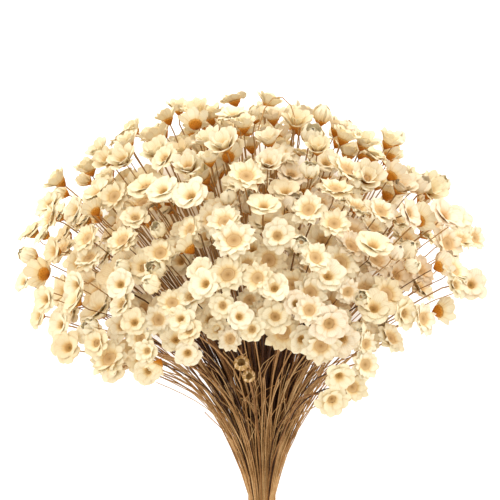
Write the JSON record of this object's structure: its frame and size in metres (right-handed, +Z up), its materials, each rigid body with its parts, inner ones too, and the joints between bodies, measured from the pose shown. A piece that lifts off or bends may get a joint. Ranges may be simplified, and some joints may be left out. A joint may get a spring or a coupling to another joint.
{
  "type": "dried flower bunch",
  "caption": "Bunch of dried glixia star flowers lying on its side: thin stems held by a raffia tie fan out into a dome of small papery blooms.",
  "frame": {"origin": "on the table, under the centre of the whole bunch", "axes": "+Z up from the table; +Y along the stems from the cut ends to the blooms; +X to the right for someone who looks down on the bunch with the blooms away from them"},
  "size_m": [0.2095, 0.3887, 0.1714],
  "materials": {
    "flowers": "dry papery petals and dry stems, matte",
    "raffia": "dry raffia strip, matte"
  },
  "bodies": {
    "root": {"spray_00": "flowers", "spray_01": "flowers", "spray_02": "flowers", "spray_03": "flowers", "spray_04": "flowers", "spray_05": "flowers", "spray_06": "flowers", "spray_07": "flowers", "spray_08": "flowers", "spray_09": "flowers", "spray_10": "flowers", "spray_11": "flowers", "spray_12": "flowers", "spray_13": "flowers", "spray_14": "flowers", "spray_15": "flowers", "spray_16": "flowers", "spray_17": "flowers", "spray_18": "flowers", "spray_19": "flowers", "spray_20": "flowers", "spray_21": "flowers", "spray_22": "flowers", "spray_23": "flowers", "spray_24": "flowers", "spray_25": "flowers", "spray_26": "flowers", "spray_27": "flowers", "spray_28": "flowers", "spray_29": "flowers", "spray_30": "flowers", "spray_31": "flowers", "spray_32": "flowers", "spray_33": "flowers", "spray_34": "flowers", "spray_35": "flowers", "spray_36": "flowers", "tie": "raffia"}
  },
  "joints": []
}
